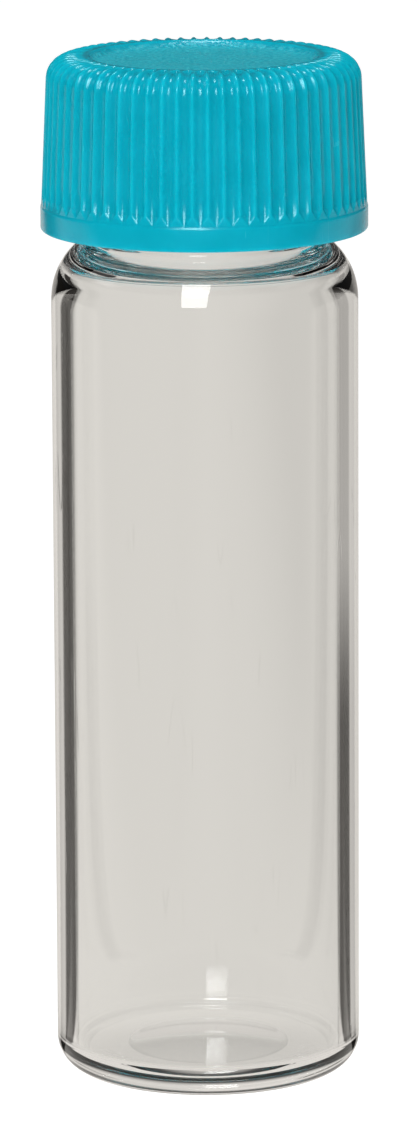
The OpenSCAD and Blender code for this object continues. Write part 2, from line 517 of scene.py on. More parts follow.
@dataclass(frozen=True)
class Foam(Finish):
    """Close-celled white foam with a smooth, slightly pitted face."""

    colour: Colour = rgb(0.82, 0.81, 0.77)
    cell: Colour = rgb(0.6, 0.59, 0.55)
    cells: Grain = Grain(0.25, 0.03)
    mottle: Point = (0.35, 0.75)
    mottle_share: Point = (0.0, 0.6)
    speck_share: float = 0.5
    roughness: float = 0.6
    uneven: float = 0.2

    def dress(self, wiring: Wiring) -> Socket:
        """Adds the foam.

        Args:
            wiring: the material's nodes.

        Returns:
            The shader's socket.
        """
        place = wiring.place()
        marks = self.marks.add(wiring, place)
        patches = wiring.ramp(marks["Mottle"], *self.mottle, *self.mottle_share)
        body = wiring.blend(patches, self.colour, self.cell)
        body = wiring.blend(wiring.math("MULTIPLY", marks["Specks"], self.speck_share), body, self.cell)
        feeds = {
            "Base Color": body,
            "Roughness": wiring.math("MULTIPLY_ADD", marks["Mottle"], self.uneven, self.roughness),
            "Normal": wiring.relief(self.cells.add(wiring, place)),
        }
        return wiring.node("ShaderNodeBsdfPrincipled", feeds).outputs[0]


GLASS = ClearGlass("clear_drawn_glass", Marks(420.0, 0.25, 260.0, 0.012, 300.0))
PLASTIC = MouldedPlastic("satin_moulded_plastic", Marks(900.0, 0.3, 330.0, 0.006, 420.0))
FOAM = Foam("close_celled_foam", Marks(500.0, 0.3, 700.0, 0.03, 900.0))


@dataclass
class Turned:
    """Rows of an outline turned round the axis.

    Each row is a point of the outline, and the outline runs so that the outside lies on its right. A point on
    the one before it is left out.
    """

    rows: list[Point] = field(default_factory=list)
    threaded: list[float] = field(default_factory=list)

    def add(self, points: list[Point], threaded: float = 0.0) -> None:
        """Adds a stretch of the outline.

        Args:
            points: its points.
            threaded: what the THREADED mask holds on them.
        """
        for point in points:
            if not self.rows or math.dist(point, self.rows[-1]) >= NEAR:
                self.rows.append(point)
                self.threaded.append(threaded)

    def mesh(self, name: str, columns: int) -> Mesh:
        """Turns the outline all the way round.

        Args:
            name: the mesh's name.
            columns: number of columns of faces.

        Returns:
            A mesh in metres whose rows on the axis are single points.
        """
        points, faces, starts, threaded = [], [], [], []
        for (radius, height), value in zip(self.rows, self.threaded):
            starts.append(len(points))
            count = 1 if radius < NEAR else columns
            for j in range(count):
                turn = math.tau * j / columns
                points.append((radius * math.cos(turn) * MM, radius * math.sin(turn) * MM, height * MM))
            threaded += [value] * count
        closed = [radius < NEAR for radius, _ in self.rows]
        for i in range(len(self.rows) - 1):
            for j in range(columns):
                k = (j + 1) % columns
                low = [starts[i]] if closed[i] else [starts[i] + j, starts[i] + k]
                high = [starts[i + 1]] if closed[i + 1] else [starts[i + 1] + k, starts[i + 1] + j]
                faces.append(low + high)
        return plain_mesh(name, points, faces, {Mask.THREADED: threaded})


def plain_mesh(
    name: str, points: list[tuple], faces: list[list[int]], values: dict[Mask, list[float]]
) -> Mesh:
    """Makes a smooth mesh with the masks on its vertices.

    Args:
        name: the mesh's name.
        points: its vertices, in metres.
        faces: its faces, as vertex numbers.
        values: each mask's value on each vertex.

    Returns:
        The mesh; a mask that is 0 everywhere is left out.
    """
    made = bpy.data.meshes.new(name)
    made.from_pydata(points, [], faces)
    for mask, each in values.items():
        if any(each):
            made.attributes.new(mask.value, "FLOAT", "POINT").data.foreach_set("value", each)
    made.polygons.foreach_set("use_smooth", [True] * len(made.polygons))
    made.update()
    return made


def piece(name: str, mesh: Mesh) -> Piece:
    """Puts a mesh into the scene as an object at the origin."""
    made = bpy.data.objects.new(name, mesh)
    bpy.context.scene.collection.objects.link(made)
    return made


def applied(target: Piece, tree: Tree, values: dict[str, object]) -> Piece:
    """Runs a geometry tree on an object and keeps the result as its plain mesh.

    Args:
        target: the object.
        tree: the geometry tree.
        values: the tree's inputs, by name.

    Returns:
        The same object, with no modifier left.
    """
    modifier = target.modifiers.new(tree.name, "NODES")
    modifier.node_group = tree
    for item in tree.interface.items_tree:
        if item.in_out == "INPUT" and item.name in values:
            modifier[item.identifier] = values[item.name]
    depsgraph = bpy.context.evaluated_depsgraph_get()
    made = bpy.data.meshes.new_from_object(
        target.evaluated_get(depsgraph), preserve_all_data_layers=True, depsgraph=depsgraph
    )
    target.modifiers.remove(modifier)
    target.data = made
    return target


def thread_tree() -> Tree:
    """Raises a right-hand screw thread on the part of a turned wall that carries the THREADED mask.

    Returns:
        A tree with the thread's sizes as its inputs. Side is 1 for a thread that stands outwards, or -1, and
        Steep is the power that rounds the ridge's flanks.
    """
    sizes = ("Pitch", "Height", "Width", "Turns", "End Turn", "Top", "Runout", "Side", "Steep")
    inputs = {"Wall": SHAPE_IN} | dict.fromkeys(sizes, FLOAT_IN) | {"Material": MATERIAL_IN}
    g = Group("screw_thread", "GeometryNodeTree", inputs, {"Wall": SHAPE_IN})
    given = g.given
    place = g.node("ShaderNodeSeparateXYZ", {0: g.node("GeometryNodeInputPosition").outputs[0]}).outputs
    turn = g.math("DIVIDE", g.math("ARCTAN2", place[1], place[0]), math.tau)
    behind = g.math("FRACT", g.math("SUBTRACT", given["End Turn"], turn))
    depth = g.math("DIVIDE", g.math("SUBTRACT", given["Top"], place[2]), given["Pitch"])
    along = g.math("ADD", behind, g.math("ROUND", g.math("SUBTRACT", depth, behind)))
    across = g.math("MULTIPLY", g.math("SUBTRACT", depth, along), given["Pitch"])
    share = g.math("DIVIDE", g.math("MULTIPLY", across, 2.0), given["Width"])
    ridge = g.math("SUBTRACT", 1.0, g.math("MULTIPLY", share, share), clamp=True)
    ridge = g.math("POWER", ridge, given["Steep"])
    left = g.math("SUBTRACT", given["Turns"], along)
    fade = g.math("DIVIDE", g.math("MINIMUM", along, left), given["Runout"], clamp=True)
    fade = g.math("SINE", g.math("MULTIPLY", fade, math.pi / 2))
    feeds = {"Name": Mask.THREADED.value}
    wall = g.node("GeometryNodeInputNamedAttribute", feeds, data_type="FLOAT").outputs[0]
    rise = g.math("MULTIPLY", g.math("MULTIPLY", ridge, fade), g.math("MULTIPLY", wall, given["Height"]))
    flat = g.node("ShaderNodeCombineXYZ", {0: place[0], 1: place[1]}).outputs[0]
    outwards = g.vector("NORMALIZE", flat)
    offset = g.vector("SCALE", outwards, scale=g.math("MULTIPLY", rise, given["Side"]))
    moved = g.node("GeometryNodeSetPosition", {"Geometry": given["Wall"], "Offset": offset}).outputs[0]
    g.dressed("Wall", moved)
    return g.tree


def rib_tree() -> Tree:
    """Sets copies of one rib's sector round the axis and welds them into a ring.

    Returns:
        A tree whose inputs are the number of ribs and the distance within which vertices are welded.
    """
    inputs = {"Sector": SHAPE_IN, "Ribs": INT_IN, "Weld": FLOAT_IN, "Material": MATERIAL_IN}
    g = Group("rib_ring", "GeometryNodeTree", inputs, {"Ring": SHAPE_IN})
    spots = g.node("GeometryNodePoints", {"Count": g.given["Ribs"]}).outputs[0]
    step = g.math("DIVIDE", math.tau, g.given["Ribs"])
    turn = g.math("MULTIPLY", g.node("GeometryNodeInputIndex").outputs[0], step)
    rotation = g.node("ShaderNodeCombineXYZ", {2: turn}).outputs[0]
    feeds = {"Points": spots, "Instance": g.given["Sector"], "Rotation": rotation}
    copies = g.node("GeometryNodeInstanceOnPoints", feeds).outputs[0]
    solid = g.node("GeometryNodeRealizeInstances", {0: copies}).outputs[0]
    feeds = {"Geometry": solid, "Distance": g.given["Weld"]}
    g.dressed("Ring", g.node("GeometryNodeMergeByDistance", feeds).outputs[0])
    return g.tree


THREAD = thread_tree()
RIBS = rib_tree()


@dataclass(frozen=True)
class Thread:
    """A right-hand screw thread. Lengths along it are in turns; side is 1 if it stands outwards, or -1."""

    height: float
    width: float
    turns: float
    end_turn: float
    side: int
    pitch: float = 3.175
    runout: float = 0.111
    steep: float = 0.8

    def cut(self, target: Piece, top: float, material: Material) -> Piece:
        """Raises the thread on a piece.

        Args:
            target: the piece, with the THREADED mask where its wall carries the thread.
            top: height of the middle of the thread's upper end.
            material: the piece's finish.

        Returns:
            The same piece.
        """
        values = {titled(size.name): float(getattr(self, size.name)) for size in fields(self)}
        values |= {titled(name): getattr(self, name) * MM for name in ("pitch", "height", "width")}
        return applied(target, THREAD, values | {"Top": top * MM, "Material": material})


@dataclass
class Shoulder:
    """The dome and the foot of the neck, outside or inside: two arcs that touch."""

    centre_x: float
    centre_z: float
    radius: float
    neck_r: float
    foot_r: float
    dome_rows: int = 28
    foot_rows: int = 12

    @property
    def rise(self) -> float:
        """Height from the dome's centre to the foot fillet's centre."""
        return math.sqrt((self.radius + self.foot_r) ** 2 - (self.neck_r + self.foot_r - self.centre_x) ** 2)

    def outline(self) -> list[Point]:
        """Points from the body's wall up to the neck.

        Returns:
            The dome's arc and the foot's arc.
        """
        foot = (self.neck_r + self.foot_r, self.centre_z + self.rise)
        lean = math.degrees(math.atan2(self.rise, foot[0] - self.centre_x))
        dome = arc((self.centre_x, self.centre_z), self.radius, 0, lean, self.dome_rows)
        return dome + arc(foot, self.foot_r, lean + 180, 180, self.foot_rows)


@dataclass
class GlassVial:
    """The one-piece glass: body, pushed-up bottom, heel, domed shoulder, threaded neck and lip."""

    body_r: float
    height: float
    wall: float = 1.3
    base_t: float = 2.0
    push_up: float = 0.5
    heel_r: float = 2.3
    stand_w: float = 2.8
    floor_r: float = 0.5
    shoulder_r: float = 5.05
    neck_r: float = 7.85
    neck_wall: float = 1.4
    neck_h: float = 9.78
    foot_r: float = 0.9
    inner_shoulder_r: float = 1.3
    shoulder_t: float = 2.5
    inner_foot_r: float = 0.8
    lip_r: float = 0.45
    thread: Thread = Thread(height=0.98, width=2.1, turns=1.15, end_turn=0.0, side=1)
    thread_drop: float = 1.95
    seam: float = 0.1
    bottom_rows: int = 12
    heel_rows: int = 18
    wall_rows: int = 24
    neck_rows: int = 64
    lip_rows: int = 8
    bore_rows: int = 10
    corner_rows: int = 16
    columns: int = 224

    def section(self) -> Turned:
        """The outline from the middle of the base, up the outside, over the lip and down the inside.

        Returns:
            The rows to turn.
        """
        turned = Turned()
        outer = Shoulder(self.body_r - self.shoulder_r, 0.0, self.shoulder_r, self.neck_r, self.foot_r)
        outer.centre_z = self.height - self.neck_h - outer.rise
        bore_r = self.neck_r - self.neck_wall
        inner_r = self.body_r - self.wall
        soft = self.inner_shoulder_r
        shoulder_z = self.height - self.neck_h - self.shoulder_t - soft
        inner = Shoulder(inner_r - soft, shoulder_z, soft, bore_r, self.inner_foot_r)
        lip, lip_z = self.lip_r, self.height - self.lip_r
        corner, corner_z = self.floor_r, self.base_t + self.floor_r
        neck = (self.neck_r, outer.centre_z + outer.rise + self.seam), (self.neck_r, lip_z - self.seam)
        turned.add(self.dome(self.body_r - self.heel_r - self.stand_w, 0.0))
        turned.add(arc((self.body_r - self.heel_r, self.heel_r), self.heel_r, -90, 0, self.heel_rows))
        turned.add(line((self.body_r, self.heel_r), (self.body_r, outer.centre_z), self.wall_rows))
        turned.add(outer.outline())
        turned.add(line(*neck, self.neck_rows), threaded=1.0)
        turned.add(arc((self.neck_r - lip, lip_z), lip, 0, 90, self.lip_rows))
        turned.add(arc((bore_r + lip, lip_z), lip, 90, 180, self.lip_rows))
        turned.add(line((bore_r, lip_z), (bore_r, inner.centre_z + inner.rise + self.seam), self.bore_rows))
        turned.add(inner.outline()[::-1])
        turned.add(line((inner_r, inner.centre_z), (inner_r, corner_z), self.wall_rows))
        turned.add(arc((inner_r - corner, corner_z), corner, 0, -90, self.corner_rows))
        turned.add(self.dome(inner_r - corner, self.base_t)[::-1])
        return turned

    def dome(self, radius: float, height: float) -> list[Point]:
        """The pushed-up middle of the bottom, from the axis to its edge.

        Args:
            radius: the edge's radius.
            height: the edge's height.

        Returns:
            Its points.
        """
        ball = (radius**2 + self.push_up**2) / (2 * self.push_up)
        edge = math.degrees(math.asin(radius / ball))
        points = arc((0.0, height + self.push_up - ball), ball, 90, 90 - edge, self.bottom_rows)
        return [(0.0, height + self.push_up)] + points[1:]

    def build(self) -> Piece:
        """Makes the glass and hangs it on the frame.

        Returns:
            The piece that stands for the vial's solid.
        """
        glass = piece("vial_glass", self.section().mesh("vial_glass", self.columns))
        self.thread.cut(glass, self.height - self.thread_drop, GLASS.material())
        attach(glass, Body.VIAL.value)
        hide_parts("vial")
        LOG.info("%s: %d faces", glass.name, len(glass.data.polygons))
        return glass


@dataclass
class ScrewCap:
    """The ribbed cap: a welded ring of rib sectors outside, and a turned bore with its thread inside.

    The columns are places across half a rib's sector. The hollows open over the tip and run out before the
    land round the recess, whose wall is given as places from its edge, with the disc's mask.
    """

    rim_r: float
    rim_z: float
    top_z: float
    bore_r: float = 9.05
    ceiling: float = 1.35
    recess_depth: float = 0.45
    ring_w: float = 3.0
    edge_r: float = 1.6
    draft: float = 2.5
    band_h: float = 1.65
    band_step: float = 0.06
    band_edge: tuple[Point, ...] = ((0.0, 0.108), (0.018, 0.02))
    ribs: int = 65
    rib_h: float = 0.25
    rib_half: float = 0.225
    rib_steep: float = 2.1
    hollow_sag: float = 0.12
    tip: float = 0.7
    land: float = 0.2
    lead_in: float = 0.4
    soft_r: float = 0.18
    hollow_power: float = 1.4
    crest_share: float = 0.5
    columns: tuple[float, ...] = (0.0, 0.06, 0.115, 0.165, 0.215, 0.27, 0.33, 0.39, 0.43, 0.465)
    run_out: float = 0.5
    recess_lean: float = 150.0
    recess_wall: tuple[tuple[float, float, float], ...] = (
        (-0.06, 0.24, 0.6), (-0.18, 0.12, 0.9), (-0.34, 0.04, 1.0), (-0.55, 0.0, 1.0)
    )
    disc_rings: tuple[float, ...] = (6.5, 5.0, 3.5, 2.0, 0.8)
    rim_rows: int = 4
    tip_rows: int = 10
    side_rows: int = 6
    edge_rows: int = 14
    land_rows: int = 2
    end_rows: int = 7
    liner_t: float = 0.75
    bore_corner: float = 0.35
    corner_rows: int = 6
    bore_rows: int = 56
    bore_columns: int = 182
    thread: Thread = Thread(height=1.0, width=1.3, turns=1.1, end_turn=-0.25, side=-1)
    thread_drop: float = 1.95
    thread_lag: float = 0.75
    seam: float = 0.05
    weld: float = 0.0008

    @property
    def height(self) -> float:
        """The cap's height."""
        return self.top_z - self.rim_z

    @property
    def edge_z(self) -> float:
        """Height of the rounded edge's centre above the rim."""
        return self.height - self.edge_r

    @property
    def edge_x(self) -> float:
        """Distance of the rounded edge's centre from the axis."""
        rise = self.edge_z - self.band_h
        return self.rim_r - self.band_step - rise * math.tan(math.radians(self.draft)) - self.edge_r

    @property
    def recess_r(self) -> float:
        """Radius of the sunken disc."""
        return self.edge_x + self.edge_r - self.ring_w

    def side_x(self, z: float) -> float:
        """Distance of the crests from the axis at a height above the rim."""
        return self.edge_x + self.edge_r + (self.edge_z - z) * math.tan(math.radians(self.draft))

    def hollow(self, x: float, share: float, fullness: float) -> float:
        """Depth of the hollow between two ribs.

        Args:
            x: distance from the axis.
            share: place across one rib's sector, from -0.5 to 0.5, with the rib's crest at 0.
            fullness: width of the hollow, from 0 at its tip to 1 where the ribs are at their thinnest.

        Returns:
            The depth below the crests.
        """
        half = math.pi * x / self.ribs
        across = (0.5 - abs(share)) * 2 * half
        if fullness < NEAR or across >= half * fullness:
            return 0.0
        aside = half - across / fullness
        rib = math.exp(-((aside / self.rib_half) ** self.rib_steep))
        sag = 1 - self.hollow_sag * (across / (half * fullness)) ** 2
        return self.rib_h * fullness**self.hollow_power * (1 - rib) * sag

    def outline(self) -> list[tuple[float, float, float, float, float]]:
        """Rows of the outside, from the rim up to the middle of the sunken disc.

        Returns:
            Each row's distance from the axis, height above the rim, direction in degrees in which its hollow
            is cut, fullness of the hollow and value of the disc's mask.
        """
        soft, low, high = self.soft_r, self.band_h + self.seam, self.band_h + self.seam + self.tip
        band = arc((self.rim_r - soft, soft), soft, -90, 0, self.rim_rows)
        band += [(self.rim_r - x, self.band_h - z) for x, z in self.band_edge]
        band += [(self.side_x(low), low)]
        rows = [(x, z, 0.0, 0.0, 0.0) for x, z in band]
        tip, side = spread(low, high, self.tip_rows), spread(high, self.edge_z, self.side_rows)
        rows += [(self.side_x(z), z, 0.0, (z - low) / self.tip, 0.0) for z in tip]
        rows += [(self.side_x(z), z, 0.0, 1.0, 0.0) for z in side]
        edge = arc((self.edge_x, self.edge_z), self.edge_r, 0, 90, self.edge_rows)
        rows += [(x, z, 90 * k / self.edge_rows, 1.0, 0.0) for k, (x, z) in enumerate(edge) if k]
        end, fade = self.recess_r + soft + self.land, self.run_out
        land, ends = spread(self.edge_x, end + fade, self.land_rows), spread(end + fade, end, self.end_rows)
        rows += [(x, self.height, 90.0, 1.0, 0.0) for x in land]
        rows += [(x, self.height, 90.0, math.sqrt((x - end) / fade), 0.0) for x in ends]
        inner = arc((self.recess_r + soft, self.height - soft), soft, 90, self.recess_lean, self.rim_rows)
        rows += [(x, z, 90.0, 0.0, 0.0) for x, z in inner]
        floor_z = self.height - self.recess_depth
        rows += [(self.recess_r + x, floor_z + z, 90.0, 0.0, disc) for x, z, disc in self.recess_wall]
        return rows + [(x, floor_z, 90.0, 0.0, 1.0) for x in self.disc_rings]

    def sector(self) -> Mesh:
        """One rib with half a hollow on each side, from the rim up to the middle of the sunken disc.

        Returns:
            Its mesh, centred on the angle 0.
        """
        shares = sorted({*self.columns, 0.5, *(-c for c in self.columns), -0.5})
        points, crests, discs = [], [], []
        rows = self.outline()
        for x, z, lean, fullness, disc in rows:
            out, up = math.cos(math.radians(lean)), math.sin(math.radians(lean))
            for share in shares:
                turn = share * math.tau / self.ribs
                depth = self.hollow(x, share, fullness)
                r, height = (x - depth * out) * MM, (self.rim_z + z - depth * up) * MM
                points.append((r * math.cos(turn), r * math.sin(turn), height))
                crest = 1 - depth / (self.crest_share * self.rib_h) if fullness > self.crest_share else 0.0
                crests.append(max(0.0, crest))
                discs.append(disc)
        n = len(shares)
        faces = [
            [i * n + j, i * n + j + 1, (i + 1) * n + j + 1, (i + 1) * n + j]
            for i in range(len(rows) - 1)
            for j in range(n - 1)
        ]
        points.append((0.0, 0.0, (self.rim_z + self.height - self.recess_depth) * MM))
        last = (len(rows) - 1) * n
        faces += [[last + j, last + j + 1, len(points) - 1] for j in range(n - 1)]
        values = {Mask.CREST: crests + [0.0], Mask.DISC: discs + [1.0]}
        return plain_mesh("rib_sector", points, faces, values)

    def bore(self) -> Mesh:
        """The ceiling and the bore, down to its chamfered mouth at the rim.

        Returns:
            Its mesh, open at the rim.
        """
        turned = Turned()
        corner, ceiling_z, low = self.bore_corner, self.top_z - self.ceiling, self.rim_z + self.lead_in
        corner_x, corner_z = self.bore_r - corner, ceiling_z - corner
        turned.add(line((0.0, ceiling_z), (corner_x, ceiling_z), self.corner_rows))
        turned.add(arc((corner_x, corner_z), corner, 90, 0, self.corner_rows))
        wall = (self.bore_r, corner_z - self.seam), (self.bore_r, low + self.seam)
        turned.add(line(*wall, self.bore_rows), threaded=1.0)
        turned.add([(self.bore_r, low), (self.bore_r + self.lead_in, self.rim_z)])
        return turned.mesh("cap_bore", self.bore_columns)

    def build(self) -> Piece:
        """Makes the cap and hangs it on the frame.

        Returns:
            The piece that stands for the cap's solid.
        """
        plastic = PLASTIC.material()
        ring = piece("rib_ring", self.sector())
        applied(ring, RIBS, {"Ribs": self.ribs, "Weld": self.weld * MM, "Material": plastic})
        bore = piece("cap_bore", self.bore())
        top = self.top_z - self.ceiling - self.liner_t - self.thread_drop - Thread.pitch * self.thread_lag
        self.thread.cut(bore, top, plastic)
        cap = piece("ribbed_cap", self.joined_at_rim(ring, bore))
        cap.data.materials.append(plastic)
        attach(cap, Body.CAP.value)
        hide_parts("cap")
        LOG.info("%s: %d faces", cap.name, len(cap.data.polygons))
        return cap

    def joined_at_rim(self, ring: Piece, bore: Piece) -> Mesh:
        """Closes the flat rim between the ring and the bore.

        Args:
            ring: the ribbed outside, open at the rim.
            bore: the inside, open at the rim.

        Returns:
            One closed mesh; the two objects are gone.
        """
        made = bpy.data.meshes.new("ribbed_cap")
        work = bmesh.new()
        work.from_mesh(ring.data)
        work.from_mesh(bore.data)
        edges = [edge for edge in work.edges if edge.is_boundary]
        loose = {vertex for edge in edges for vertex in edge.verts}
        middle = (self.bore_r + self.lead_in + self.rim_r) / 2 * MM
        around = sorted(loose, key=turn_of)
        outer = [v for v in around if v.co.xy.length > middle]
        inner = [v for v in around if v.co.xy.length < middle]
        LOG.info("rim: %d outer and %d inner vertices", len(outer), len(inner))
        bridge(work, inner, outer)
        for face in work.faces:
            face.smooth = True
            face.material_index = 0
        work.to_mesh(made)
        work.free()
        for old in (ring, bore):
            bpy.data.objects.remove(old)
        return made


def turn_of(vertex: Vertex) -> float:
    """The vertex's angle round the axis."""
    return math.atan2(vertex.co.y, vertex.co.x) % math.tau


def bridge(work: bmesh.types.BMesh, inner: list[Vertex], outer: list[Vertex]) -> None:
    """Fills a flat ring that faces down between two loops of vertices sorted by angle.

    Args:
        work: the mesh.
        inner: the inner loop.
        outer: the outer loop.
    """

    def ahead(loop: list[Vertex], i: int) -> tuple[Vertex, float]:
        """The vertex after the loop's vertex i, and its angle, counted on past a full turn."""
        vertex = loop[(i + 1) % len(loop)]
        return vertex, turn_of(vertex) + (math.tau if i + 1 >= len(loop) else 0)

    i = j = 0
    while i < len(inner) or j < len(outer):
        here = inner[i % len(inner)], outer[j % len(outer)]
        (next_in, turn_in), (next_out, turn_out) = ahead(inner, i), ahead(outer, j)
        if j >= len(outer) or (i < len(inner) and turn_in < turn_out):
            work.faces.new((here[0], next_in, here[1]))
            i += 1
        else:
            work.faces.new((here[0], next_out, here[1]))
            j += 1


@dataclass
class SealLiner:
    """The foam disc, with softened edges and the ring that the lip has pressed into it."""

    radius: float
    low: float
    high: float
    lip_inner_r: float = 6.45
    lip_outer_r: float = 7.85
    press: float = 0.04
    press_soft: float = 0.2
    soft_r: float = 0.12
    rings: tuple[float, ...] = (6.0, 3.0, 0.0)
    edge_rows: int = 5
    columns: int = 160

    def build(self) -> Piece:
        """Makes the liner and hangs it on the frame.

        Returns:
            The piece that stands for the liner's solid.
        """
        turned = Turned()
        soft, near, far = self.soft_r, self.lip_inner_r, self.lip_outer_r
        pressed = (near - self.press_soft, near, (near + far) / 2, far, far + self.press_soft)
        depths = (0.0, self.press / 2, self.press, self.press / 2, 0.0)
        turned.add([(x, self.low) for x in self.rings[:0:-1]])
        turned.add([(x, self.low + depth) for x, depth in zip(pressed, depths)])
        turned.add(arc((self.radius - soft, self.low + soft), soft, -90, 0, self.edge_rows))
        turned.add(arc((self.radius - soft, self.high - soft), soft, 0, 90, self.edge_rows))
        turned.add([(x, self.high) for x in self.rings])
        liner = piece("seal_liner", turned.mesh("seal_liner", self.columns))
        liner.data.materials.append(FOAM.material())
        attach(liner, Body.LINER.value)
        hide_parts("cap_liner")
        LOG.info("%s: %d faces", liner.name, len(liner.data.polygons))
        return liner


@dataclass(frozen=True)
class Surroundings:
    """The studio that glass and gloss show, painted on the floor and the world: a pale backdrop, a painted
    dark flag on each side, a painted dark front in reflections and painted shade towards the right.

    The flags' edges are bearings from straight behind the vial. A fade ends at its share of where it starts.
    """

    # painted darkness that glass and gloss show: the flags at the sides and the front
    flag: Colour = rgb(0.04, 0.036, 0.032)
    front: Colour = rgb(0.04, 0.04, 0.04)
    left: Point = (25.0, 58.0)
    right: Point = (25.0, 58.0)
    soft: float = 6.0
    top_fade: float = 1.6
    right_reach: float = 110.0
    reach_fade: float = 1.8
    far_share: float = 0.5
    # painted shade: how much darker the backdrop grows towards the right
    shade: float = 0.13
    shade_share: float = 0.5

    def tree(self) -> Tree:
        """Makes the shared group.

        Returns:
            A group from a way, seen from the vial, to the tone there.
        """
        inputs = {"Way": VECTOR_IN, "Backdrop": COLOUR_IN}
        inputs |= dict.fromkeys(("Side", "Front Soft", "Mirrored", "Flag Top"), FLOAT_IN)
        g = Group("surroundings", "ShaderNodeTree", inputs, {"Tone": COLOUR_IN})
        given = g.given
        way = g.node("ShaderNodeSeparateXYZ", {0: given["Way"]}).outputs

        def met(side: float, start: float, end: float) -> Socket:
            """How much of a painted dark flag is met on one side of the backdrop."""
            across = g.math("SUBTRACT", g.math("MULTIPLY", way[0], side), given["Side"])
            aside = g.math("DEGREES", g.math("ARCTAN2", across, way[1]))
            near = g.ramp(aside, start, start + self.soft)
            return g.math("MULTIPLY", near, g.ramp(aside, end - self.soft, end, 1.0, 0.0))

        flat = g.node("ShaderNodeCombineXYZ", {0: way[0], 1: way[1]}).outputs[0]
        distance = g.node("ShaderNodeVectorMath", {0: flat}, operation="LENGTH").outputs["Value"]
        reach = self.right_reach * MM
        near = g.ramp(distance, reach, reach * self.reach_fade, 1.0, self.far_share)
        # painted reflection: dark flag sectors on both sides, the right one fading to a share further away
        dark = g.math("MAXIMUM", met(-1.0, *self.left), g.math("MULTIPLY", met(1.0, *self.right), near))
        top = g.math("MULTIPLY", given["Flag Top"], self.top_fade)
        dark = g.math("MULTIPLY", dark, g.ramp(way[2], given["Flag Top"], top, 1.0, 0.0))
        width = g.math("MULTIPLY", given["Front Soft"], self.shade_share)
        # painted shade: the backdrop darker towards the right
        dark = g.math("MAXIMUM", dark, g.ramp(way[0], 0.0, width, 0.0, self.shade))
        tone = g.blend(dark, given["Backdrop"], self.flag)
        # painted reflection: a dark front, only where gloss mirrors it
        front = g.ramp(g.math("DIVIDE", way[1], given["Front Soft"]), -1.0, 0.0, 1.0, 0.0)
        front = g.math("MULTIPLY", front, given["Mirrored"])
        g.feed(g.result["Tone"], g.blend(front, tone, self.front))
        return g.tree


SURROUNDINGS = Surroundings().tree()


def aimed(
    name: str, data: bpy.types.Light, bearing: float, elevation: float, target: Vector, distance: float
) -> Piece:
    """Hangs a light so that it faces a target.

    Args:
        name: the light's name.
        data: the light.
        bearing: where it hangs, seen from above: 0 is in front of the target and 90 is on its right.
        elevation: how far above the target's level it hangs, as an angle.
        target: what it faces, in metres.
        distance: how far from the target it hangs.

    Returns:
        The light's object.
    """
    made = bpy.data.objects.new(name, data)
    around, up = math.radians(bearing), math.radians(elevation)
    back = Vector((math.sin(around) * math.cos(up), -math.cos(around) * math.cos(up), math.sin(up)))
    made.location = target + back * distance * MM
    made.rotation_mode = "QUATERNION"
    made.rotation_quaternion = (-back).to_track_quat("-Z", "Y")
    bpy.context.scene.collection.objects.link(made)
    return made


@dataclass(frozen=True)
class Lamp:
    """A soft rectangular lamp that faces the vial; the brightness is what its face shows."""

    name: str
    bearing: float
    elevation: float
    distance: float
    width: float
    height: float
    brightness: float
    colour: tuple[float, float, float] = (1.0, 1.0, 1.0)

    def hang(self, target: Vector) -> Piece:
        """Hangs the lamp.

        Args:
            target: what it faces, in metres.

        Returns:
            The lamp.
        """
        data = bpy.data.lights.new(self.name, "AREA")
        data.shape = "RECTANGLE"
        data.size, data.size_y = self.width * MM, self.height * MM
        data.energy = math.pi * data.size * data.size_y * self.brightness
        data.color = self.colour
        return aimed(self.name, data, self.bearing, self.elevation, target, self.distance)


@dataclass(frozen=True)
class Viewpoint:
    """The camera: it looks along +Y and down, from the front."""

    aside: float = 0.24
    distance: float = 504.6
    height: float = 138.1
    pitch: float = 11.46
    roll: float = -0.28
    lens: float = 236.1
    sensor: float = 36.0
    clip: Point = (0.01, 20.0)

    def build(self) -> Piece:
        """Makes the scene's camera.

        Returns:
            The camera.
        """
        data = bpy.data.cameras.new("camera")
        data.sensor_fit = "AUTO"
        data.sensor_width = self.sensor
        data.lens = self.lens
        data.clip_start, data.clip_end = self.clip
        made = bpy.data.objects.new("camera", data)
        look = Matrix.Rotation(math.radians(90 - self.pitch), 4, "X")
        look = look @ Matrix.Rotation(math.radians(self.roll), 4, "Z")
        made.matrix_world = Matrix.Translation(Vector((self.aside, -self.distance, self.height)) * MM) @ look
        bpy.context.scene.collection.objects.link(made)
        bpy.context.scene.camera = made
        return made


